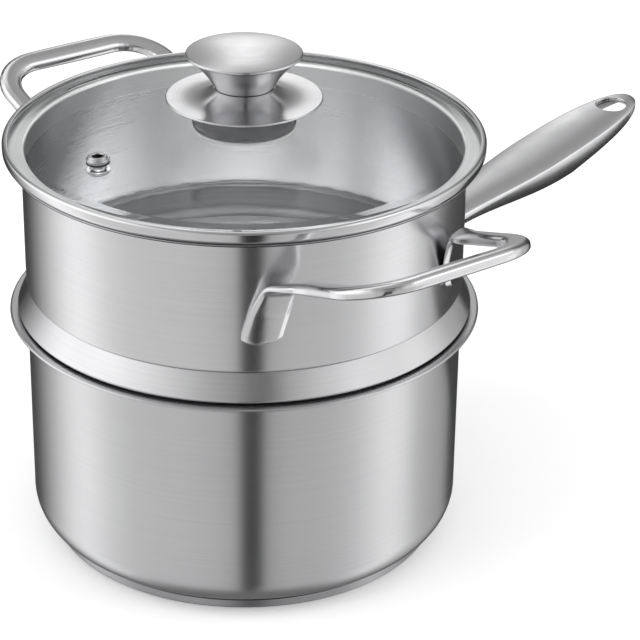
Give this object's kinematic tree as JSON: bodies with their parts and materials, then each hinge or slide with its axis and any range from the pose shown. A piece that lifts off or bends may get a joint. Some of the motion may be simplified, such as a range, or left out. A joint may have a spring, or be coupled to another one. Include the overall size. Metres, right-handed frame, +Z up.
{
  "type": "saucepan with steamer",
  "caption": "Stainless saucepan with a long leaf-shaped handle, a loop-handled steamer insert seated in its lip and a banded glass lid with a flared knob and steam vent.",
  "frame": {"origin": "centre of the base's underside, on the surface that the pan stands on", "axes": "+Z up along the axis of pan, steamer and lid; +X along the pan's long handle"},
  "size_m": [0.3807, 0.3156, 0.2333],
  "materials": {
    "pan_satin_steel": "fine circumferential brushing",
    "base_steel": "satin",
    "core_aluminium": "mill, enclosed",
    "cast_handle_steel": "tumbled satin",
    "steamer_satin_steel": "fine circumferential brushing",
    "seat_ring_steel": "fine circumferential brushing",
    "loop_handle_steel": "tumbled satin",
    "lid_glass": "clear tempered",
    "band_polished_steel": "polished",
    "polished_steel": "polished",
    "knob_steel": "fine turned",
    "silicone": "matt",
    "clear_silicone": "milky, matt"
  },
  "bodies": {
    "pan": {"pan_shell": "pan_satin_steel", "base_cap": "base_steel", "base_core": "core_aluminium", "pan_handle": "cast_handle_steel"},
    "steamer": {"steamer_shell": "steamer_satin_steel", "steamer_seat_ring": "seat_ring_steel", "steamer_handle_front": "loop_handle_steel", "steamer_handle_rear": "loop_handle_steel"},
    "lid": {"lid_glass": "lid_glass", "lid_band": "band_polished_steel", "vent_eyelet": "polished_steel", "vent_collar": "polished_steel", "vent_seal": "silicone", "knob_crown": "knob_steel", "knob_stem": "knob_steel", "knob_guard": "knob_steel", "knob_seat": "knob_steel", "knob_gasket_top": "clear_silicone", "knob_gasket_bottom": "silicone", "knob_washer": "polished_steel", "knob_screw": "polished_steel"}
  },
  "joints": [
    {"name": "steamer_lift", "type": "slide", "parent": "pan", "child": "steamer", "axis": [0, 0, 1], "range_m": [0, 0.12]},
    {"name": "lid_lift", "type": "slide", "parent": "steamer", "child": "lid", "axis": [0, 0, 1], "range_m": [0, 0.1]}
  ]
}
